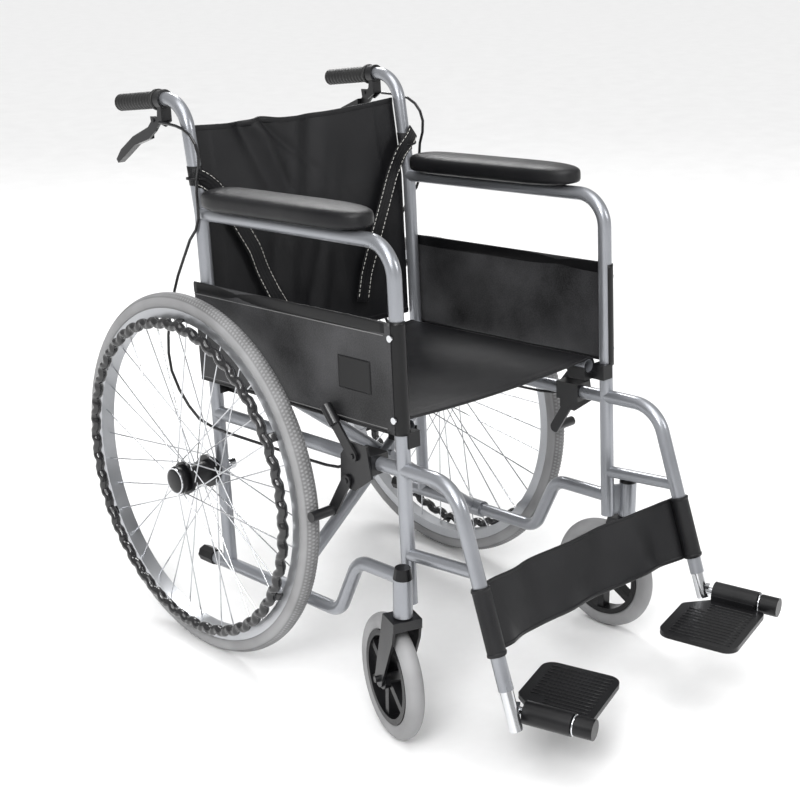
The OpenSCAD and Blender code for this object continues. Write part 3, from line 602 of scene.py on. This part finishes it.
# %% Push grips
cane_top = np.array([(606 - arm_z) * np.tan(lean_back), 606.0])
grip_drop = np.radians(4.6)
grip_start = 90 - cane_top[0]
grip_length = 196.0 - cane_top[0] + 8.0
grip_r = 14.5
finger_rings = 12
for side, way in sides.items():
    run = np.linspace(grip_start + 8, grip_length - 3, finger_rings * 8 + 1)
    ring = 0.5 + 0.5 * np.cos((run - run[0]) / (run[-1] - run[0]) * finger_rings * 2 * np.pi)
    bulge = grip_r - 1.8 + 1.5 * ring ** 0.5
    head = [(grip_start, 13.5), (grip_start, 16.5), (grip_start + 1, 17.4), (grip_start + 5, 17.4),
            (grip_start + 6.5, 16), (grip_start + 7, 13.5)]
    tail = [(grip_length - 1.5, 12.8), (grip_length - 0.3, 10.0), (grip_length, 6.0)]
    outline = head + list(zip(run, bulge)) + tail
    start = raked(way * frame_x, cane_top[0], cane_top[1])
    ahead = raked(way * frame_x, cane_top[0] + np.cos(grip_drop), cane_top[1] - np.sin(grip_drop)) - start
    grip = turned(f"push_sleeve_{side}", start, ahead, outline)
    settle(grip, f"frame_{side}", "grip_rubber", [f"push_grip_{side}"])
print("grips", round(grip_length - grip_start), "mm long")

# %% [markdown]
# An arm pad is foam with a tough skin, moulded to a long loaf: rounded nose, softly crowned top, and a
# flat underside that grips the armrest tube. Its section is a rounded box whose width shrinks to nothing
# over the round ends.

# %% Arm pads
pad_w, pad_l, pad_h = 77.0, 371.0, 36.0
pad_back_y = -24.0
pad_mid_x = frame_x - 42 + pad_w / 2


def pad_grid(way):
    """At each place along the pad: half width and half height shrink like a superellipse towards both
    ends, the section is a rounded box, and the top bulges by 2.5 mm in the middle."""
    t = np.sin(np.linspace(-np.pi / 2, np.pi / 2, 72))[:, None]
    end = np.clip(1 - np.abs(t) ** 9, 0.0004, 1) ** (1 / 2.4)
    front = np.clip(1 - np.abs(np.minimum(t, 0)) ** 5, 0.0004, 1) ** (1 / 2.2)
    taper = np.minimum(end, front)
    tall = 0.35 + 0.65 * taper ** 0.8
    outline = rounded(1.0, 1.0, 3.6, 44)
    across = pad_w / 2 * taper * outline[None, :, 0]
    top = outline[None, :, 1]
    crown = 2.0 * (1 - outline[None, :, 0] ** 2) * (top > 0)
    up = arm_z + 9.0 + pad_h / 2 + (pad_h / 2 - 1.6) * tall * top + crown * taper
    up = np.where(top < 0, np.maximum(up, arm_z + 9.0), up)
    along = pad_back_y - pad_l / 2 + pad_l / 2 * t + 0 * across
    return raked(way * (pad_mid_x + across), along, up)


for side, way in sides.items():
    pad = skin(f"arm_cushion_{side}", pad_grid(way), wrap=(False, True), caps=True)
    settle(soften(pad), f"frame_{side}", "pad_vinyl", [f"arm_pad_{side}"])
print("arm pads on tubes", arm_z, "mm above the axle")

# %% [markdown]
# The clothes guard is a panel of stiff black cloth screwed to the side frame, with a doubled hem along
# its top, a folded bottom edge, a thin pale cord beside each hem that paints the highlight along the hem's
# edge, and a trim that wraps the front upright. It is a nearly flat skin with a shallow wave, made thick
# with a wall, and the hems and the painted highlight cords are rounded strips carried along its edges.

# %% Clothes guards
guard_y = (-base_l, 18.0)
guard_z = (150.0, 314.0)
guard_x = frame_x + tube_r + 1.6
guard_t = 2.4


def guard_grid(way):
    """Flat panel in the plane of the side frame, moved sideways by two slow waves of under 1 mm."""
    y = np.linspace(*guard_y, 60)[:, None]
    z = np.linspace(*guard_z, 24)[None, :]
    wave = 0.5 * np.sin(y / 63 + z / 90) + 0.3 * np.sin(y / 27 - z / 40)
    return raked(way * (guard_x + 0.2 + wave), y, z)


def trim_grid(way):
    """A sleeve round the outer half of the upright: radius 12.3 mm, from its front to its back."""
    z = np.linspace(guard_z[0] - 1, guard_z[1] + 1, 30)[:, None]
    turn = np.radians(np.linspace(-118, 96, 22))[None, :]
    radius = tube_r + 1.3
    return raked(way * (frame_x + radius * np.cos(turn)), -base_l + radius * np.sin(turn), z)


for side, way in sides.items():
    guard = thicken(skin(f"clothes_guard_{side}", guard_grid(way)), guard_t * mm)
    # painted highlight: a pale cord laid along the edge of each hem
    for row, z in enumerate((guard_z[1] - 19.5, guard_z[0] + 7)):
        y = np.linspace(guard_y[0] + 14, guard_y[1], 50)
        bead = carried(raked(way * (guard_x + 1.7), y, z + 0 * y), mm * rounded(0.6, 0.8, 2.0, 8)[None])
        cord_piece = skin(f"guard_hem_highlight_{side}_{row}", bead, wrap=(False, True), caps=True)
        settle(cord_piece, f"frame_{side}", "sling_fabric")
        recolour(cord_piece, hem_highlight_cord)
    hems = []
    for z, half, wide in ((guard_z[1] - 9, 9.5, 2.0), (guard_z[0] + 2, 2.6, 2.2)):
        y = np.linspace(guard_y[0] + 11, guard_y[1], 50)
        edge = raked(way * (guard_x + 0.2), y, z + 0 * y)
        roll = carried(edge, mm * rounded(wide, half, 3.2, 20)[None])
        hems.append(skin("hem", roll, wrap=(False, True), caps=True))
    hem = settle(joined(f"guard_hems_{side}", hems), f"frame_{side}", "sling_fabric")
    sleeve = thicken(skin(f"guard_trim_{side}", trim_grid(way)), 1.6 * mm)
    trim = settle(sleeve, f"frame_{side}", "sling_fabric")
    settle(guard, f"frame_{side}", "sling_fabric", [f"skirt_panel_{side}"])
    recolour(guard, guard_vinyl)
    recolour(hem, smooth_vinyl)
    recolour(trim, smooth_vinyl)
print("guards", guard_y[1] - guard_y[0], "by", guard_z[1] - guard_z[0], "mm")

# %% [markdown]
# A square patch of smooth cloth is sewn low on the front half of each guard, and follows its waves.

# %% Fastening patches
patch_y = (-402.0, -332.0)
patch_z = (202.0, 251.0)
for side, way in sides.items():
    y = np.linspace(*patch_y, 24)[:, None]
    z = np.linspace(*patch_z, 24)[None, :]
    wave = 0.5 * np.sin(y / 63 + z / 90) + 0.3 * np.sin(y / 27 - z / 40)
    patch = skin(f"guard_patch_{side}", raked(way * (guard_x + 1.75 + wave), y, z))
    recolour(settle(thicken(patch, 1.0 * mm), f"frame_{side}", "webbing"), smooth_vinyl)
print("patches", patch_y[1] - patch_y[0], "by", patch_z[1] - patch_z[0], "mm")

# %% [markdown]
# The seat is one sling of nylon that goes round both seat tubes. Its section across the chair is worked
# out as an arc round one tube, a shallow sag, and an arc round the other; carried from front to back it
# becomes the sling.

# %% Seat sling
seat_x = 200.0
seat_z = 150.0
seat_y = (-432.0, -17.0)
wrap_r = tube_r + 1.9
seat_sag = 9.0


def seat_section():
    """Points (x, z): an arc from 188 to 90 degrees round the right tube, a parabola of depth 1 between
    the tubes (told apart by the third value), and the mirrored arc round the left tube."""
    turn = np.radians(np.linspace(188, 90, 14))
    first = np.stack([-seat_x + wrap_r * np.cos(turn), seat_z + wrap_r * np.sin(turn)], -1)
    x = np.linspace(-seat_x, seat_x, 75)[1:-1]
    middle = np.stack([x, np.full_like(x, seat_z + wrap_r)], -1)
    return np.vstack([first, middle, first[::-1] * (-1, 1)])


def seat_grid():
    """The section at each place along the seat, less a sag that is a parabola across and eases at the
    front and back hems, plus small pull lines that fan from the tubes."""
    section = seat_section()
    y = np.linspace(*seat_y, 84)[:, None]
    x = section[None, :, 0]
    inner = np.clip(1 - (x / seat_x) ** 2, 0, 1)
    along = (y - seat_y[0]) / (seat_y[1] - seat_y[0])
    sag = seat_sag * inner * (0.75 + 0.25 * np.sin(np.pi * along))
    pulls = 0.8 * inner * (np.sin(y / 17 + x / 60) * np.abs(x / seat_x) ** 2 + 0.6 * np.sin(x / 31 + y / 55))
    hem = 0.8 * np.exp(-((y - seat_y[0] - 14) / 2.5) ** 2) + 0.8 * np.exp(-((y - seat_y[1] + 14) / 2.5) ** 2)
    return raked(x, y, section[None, :, 1] - sag + pulls - hem * (inner > 0))


seat = thicken(skin("seat_sling", seat_grid()), 2.6 * mm)
seat_hems = []
for y in seat_y:
    section = seat_section()
    inner = np.clip(1 - (section[:, 0] / seat_x) ** 2, 0, 1)
    line = raked(section[:, 0], y + 0 * section[:, 0], section[:, 1] - 0.75 * seat_sag * inner)
    roll = carried(line, mm * rounded(2.4, 2.2, 2.4, 14)[None], up=(0, 1, 0))
    seat_hems.append(skin("hem", roll, wrap=(False, True), caps=True))
seat_hem = joined("seat_hems", seat_hems)
blend_a = Vector(raked(seat_x - 20, -225.0, seat_z + wrap_r))
blend_b = Vector(raked(-seat_x + 20, -225.0, seat_z + wrap_r))
for cloth in (seat, seat_hem):
    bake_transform(cloth)
    cloth.data.materials.append(finishes["sling_fabric"])
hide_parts("seat_half_right", "seat_half_left")

# %% [markdown]
# The back sling is screwed to the rear of the posts and wraps them a little. Nobody is leaning on it, so
# it hangs with long soft folds: a few run down from the right top corner, and the top edge rises and
# dips. The folds are worked out as ridges across and down the cloth and added to a gentle hollow.

# %% Back sling
back_z = (176.0, 556.0)
back_y = tube_r + 2.4
back_half = 222.0


def ridge(distance, width):
    """A smooth ridge of height 1 along the line where distance is 0."""
    return np.exp(-(distance / width) ** 2)


def back_grid():
    """Depth behind the posts = the lean above the bend + a hollow in the middle + folds. A fold is a
    ridge along a slanting line that fades out along its length."""
    z = np.linspace(*back_z, 96)[:, None]
    x = np.linspace(-back_half, back_half, 120)[None, :]
    inner = np.clip(1 - (x / back_half) ** 2, 0, 1)
    high = (z - back_z[0]) / (back_z[1] - back_z[0])
    lean = np.clip(z - arm_z, 0, None) * np.tan(lean_back)
    hollow = 7.0 * inner * (0.4 + 0.6 * high)
    drop = back_z[1] - z
    rise = z - back_z[0]
    folds = 9.0 * ridge(x + 76 - drop * 1.15, 13) * np.exp(-drop / 62)
    folds = folds - 11.0 * ridge(x + 84 - drop * 0.42, 15) * np.exp(-drop / 150)
    folds = folds + 8.0 * ridge(x + 112 - drop * 0.34, 17) * np.exp(-drop / 170)
    folds = folds + 5.0 * ridge(x - 40 + drop * 0.22, 20) * np.exp(-drop / 220)
    folds = folds - 4.0 * ridge(x - 6 + drop * 0.16, 15) * np.exp(-drop / 260)
    low = 3.2 * ridge(x + 20 - rise * 0.3, 12) - 3.6 * ridge(x - 12 - rise * 0.22, 14)
    low = low + 2.6 * ridge(x + 92 - rise * 0.12, 12) - 2.6 * ridge(x - 88 + rise * 0.1, 16)
    folds = folds + low * (1 - high) ** 1.2 + 1.0 * np.sin(x / 21 - z / 47) * inner
    selvage = 0.9 / (1 + np.exp((178 - np.abs(x)) / 1.2))
    top = (6.0 * ridge(x + 70, 30) - 9.0 * inner) * high ** 5
    edge = np.clip(inner * 6, 0, 1)
    return raked(x, back_y + lean + (hollow + folds) * edge + selvage, z + top)


back = thicken(skin("back_sling", back_grid()), 2.2 * mm)
back_hems = []
for row in (0, -1):
    line = back_grid()[row]
    roll = carried(line, mm * rounded(2.2, 5.5, 2.6, 14)[None])
    back_hems.append(skin("hem", roll, wrap=(False, True), caps=True))
back_hem = joined("back_hems", back_hems)
settle(back, "frame_right", "sling_fabric", ["back_half_right", "back_half_left"])
settle(back_hem, "frame_right", "sling_fabric")
for cloth in (back, back_hem):
    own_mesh(cloth)
print("back sling faces", len(back.data.polygons))

# %% [markdown]
# A strap behind the calves joins the two hangers: a band of the same cloth, sewn into a loop at each
# end, with puckers where it is pulled. Its section, seen from above, goes round one tube, across, and
# round the other; it is carried along the hangers' slope. Each loop is a piece of its own that stays
# with its side frame, and the band between them goes with the right frame.

# %% Calf strap
hanger_lean = np.radians(17.0)
hanger_corner = np.array([-549.0, 95.0])
strap_floor = (205.0, 292.0)
bend = 42


def hanger_at(height):
    """Place on the hanger's line, as (along, up) in frame mm, where it is that high above the floor."""
    way = np.array([-np.sin(hanger_lean), -np.cos(hanger_lean)])
    corner = wheel_r - hanger_corner[0] * np.sin(rake) + hanger_corner[1] * np.cos(rake)
    fall = -way[0] * np.sin(rake) + way[1] * np.cos(rake)
    return hanger_corner + np.multiply.outer((np.asarray(height) - corner) / fall, way)


def strap_grid():
    """Seen along the hangers: an arc of 320 degrees round the right tube, a straight run with a hollow
    and puckers, and the mirrored arc."""
    turn = np.radians(np.linspace(50, -270, bend))
    ring = tube_r + 1.6
    first = np.stack([-frame_x + ring * np.cos(turn), ring * np.sin(turn)], -1)
    x = np.linspace(-frame_x, frame_x, 110)[1:-1]
    middle = np.stack([x, np.full_like(x, ring)], -1)
    section = np.vstack([first, middle, first[::-1] * (-1, 1)])
    height = np.linspace(*strap_floor, 30)[:, None]
    place = hanger_at(height[:, 0])
    along, up = place[:, :1], place[:, 1:]
    a = section[None, :, 0]
    inner = np.clip(1 - (a / (frame_x - 14)) ** 2, 0, 1)
    level = (height - strap_floor[0]) / (strap_floor[1] - strap_floor[0])
    hollow = 24.0 * inner ** 0.8
    pucker = 3.0 * np.sin(a / 13 + level * 2.2) * np.abs(a / frame_x) + 4.2 * np.sin(a / 24 - level * 1.6)
    pucker = pucker * np.clip(inner * 3, 0, 1)
    out = section[None, :, 1] + (hollow + pucker) * (inner > 0)
    droop = -2.0 * inner
    y = along + out * np.cos(hanger_lean) - droop * np.sin(hanger_lean)
    z = up - out * np.sin(hanger_lean) + droop * np.cos(hanger_lean)
    return raked(a, y, z)


whole_strap = strap_grid()
shares = {"right": slice(0, bend), "left": slice(-bend, None), "band": slice(bend - 1, 1 - bend)}
calf_parts = []
for share, columns in shares.items():
    grid = whole_strap[:, columns]
    body = "frame_left" if share == "left" else "frame_right"
    cloth = thicken(skin(f"calf_{share}", grid), 2.4 * mm)
    edge = mm * rounded(1.9, 3.4, 2.6, 12)[None]
    beads = [skin("edge", carried(grid[row], edge), wrap=(False, True), caps=True) for row in (0, -1)]
    settle(cloth, body, "sling_fabric", ["calf_strap"] if share == "band" else ())
    calf_parts += [cloth, settle(joined(f"calf_edges_{share}", beads), body, "sling_fabric")]
calf, calf_edge = calf_parts[-2:]
for cloth in (calf, calf_edge):
    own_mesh(cloth)

# %% [markdown]
# The waist belt is a strip of webbing looped on each back post, which hangs down in front of the back
# sling. Each half is a flat section carried along a drooping line, and the white stitches near its edges
# are short beads of thread laid along the same line.

# %% Waist belt
belt_w = 30.0
belt_lines = {"right": [(-236, -4, 486), (-222, -9, 478), (-200, -3, 462), (-168, 3, 424),
                        (-128, 0, 352), (-112, 4, 312), (-92, 2, 268), (-74, 4, 240)],
              "left": [(240, -3, 502), (226, -9, 490), (204, -5, 468), (188, 2, 430),
                       (168, 4, 380), (138, 2, 318), (116, 4, 262), (104, 3, 215)]}
stitch_gap = 8.0
seam_off = 11.5
loop_r = 11.5


def belt_grid(line, half_w, thick):
    """Flat rounded section carried along the belt's line, its width in the plane of the back."""
    path = smooth_path(line, 60)
    points = raked(path[:, 0], path[:, 1], path[:, 2])
    section = rounded(half_w, thick, 4.0, 16)
    return carried(points, mm * section[None], up=(0, 1, 0.06))


def stitches(line, offset):
    """A row of small beads of thread beside the belt's line: each bead is a ball stretched along it."""
    path = smooth_path(line, 240)
    points = raked(path[:, 0], path[:, 1], path[:, 2])
    way = np.gradient(points, axis=0)
    way /= np.linalg.norm(way, axis=1, keepdims=True)
    across = np.cross((0, 1, 0), way)
    across /= np.linalg.norm(across, axis=1, keepdims=True)
    run = np.concatenate([[0], np.cumsum(np.linalg.norm(np.diff(points, axis=0), axis=1))])
    picks = np.searchsorted(run, np.arange(stitch_gap, run[-1] / mm - 4, stitch_gap) * mm)
    beads = []
    for k in picks:
        t = np.linspace(-2.6, 2.6, 5)[:, None] * mm
        centre = points[k] + across[k] * offset * mm - np.array((0, 1.45 * mm, 0))
        ball = carried(centre + t * way[k], mm * rounded(0.55, 0.5, 2, 6)[None], up=(0, 1, 0.05))
        beads.append(skin("bead", ball, wrap=(False, True), caps=True))
    return beads


for side, way in sides.items():
    strap = skin("strap", belt_grid(belt_lines[side], belt_w / 2, 1.2), wrap=(False, True), caps=True)
    level = np.linspace(470, 500, 4)
    lean = (level - arm_z) * np.tan(lean_back)
    loop_turn = np.radians(np.linspace(0, 360, 40, endpoint=False))[None, :]
    loop = raked(way * frame_x + loop_r * np.cos(loop_turn), lean[:, None] + loop_r * np.sin(loop_turn),
                 level[:, None])
    ring = skin("loop", loop, wrap=(False, True))
    belt = settle(strap, f"frame_{side}", "webbing", [f"belt_strap_{side}"])
    belt.name = f"belt_{side}"
    cuff = settle(thicken(ring, 0.8 * mm), f"frame_{side}", "webbing")
    cuff.name = f"belt_cuff_{side}"
    rows = stitches(belt_lines[side], seam_off) + stitches(belt_lines[side], -seam_off)
    thread = recolour(joined(f"belt_thread_{side}", rows), white_thread)
    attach(thread, f"frame_{side}")
    for cloth in (belt, thread):
        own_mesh(cloth)
print("belt stitches", len(rows), "on the last half")

# %% [markdown]
# A plastic tie holds the cable to each post: a flat strip closed in an oval round both.

# %% Cable ties
for side, way in sides.items():
    height = 480.0
    lean = (height - arm_z) * np.tan(lean_back)
    turn = np.radians(np.linspace(0, 360, 48, endpoint=False))
    reach_x = frame_x + 3 + 15.5 * np.cos(turn)
    path = raked(way * reach_x, lean - 4 + 14 * np.sin(turn), height + 2 * np.cos(turn))
    closed = np.vstack([path[-2:], path, path[:2]])
    tie = carried(closed, mm * rounded(0.7, 2.0, 3.0, 10)[None])[2:-2]
    settle(skin(f"cable_tie_{side}", tie, wrap=(True, True)), f"frame_{side}", "black_plastic")
print("ties", height, "mm above the axle")

# %% [markdown]
# The footplates are moulded with a field of low ribs that keep a shoe from slipping. Each rib is a small
# rounded bar; the field lies in the plate's own directions, turned by the plate's angle. A bright washer
# closes the end of each hinge barrel.

# %% Footplate ribs
hinges = {j["name"]: j for j in frame["joints"]}
rib_count = 13
rib_reach = (34, 146)
for side, way in sides.items():
    hinge = hinges[f"footplate_flip_{side}"]
    origin = np.array(hinge["pos_m"])
    forward = np.array(hinge["axis"]) * -way
    inward = np.array((-forward[1], forward[0], 0)) * -way
    ribs = []
    for k in range(rib_count):
        out = rib_reach[0] + (rib_reach[1] - rib_reach[0]) * k / (rib_count - 1)
        t = np.linspace(-12 if out > 60 else 14, 84, 9)[:, None]
        path = origin + mm * (out * inward + t * forward) + np.array((0, 0, -4.9 * mm))
        bar = carried(path, mm * rounded(1.5, 0.9, 2, 8)[None])
        ribs.append(skin("rib", bar, wrap=(False, True), caps=True))
    settle(joined(f"footplate_ribs_{side}", ribs), f"footplate_{side}", "black_plastic")
    washer = turned(f"hinge_washer_{side}", origin + mm * 79 * forward, forward,
                    [(0, 8), (0, 14.5), (0.8, 15.6), (2.2, 15.6), (3, 14.5), (3, 8)])
    settle(washer, f"footplate_{side}", "chrome")
print("ribs on each footplate", rib_count)
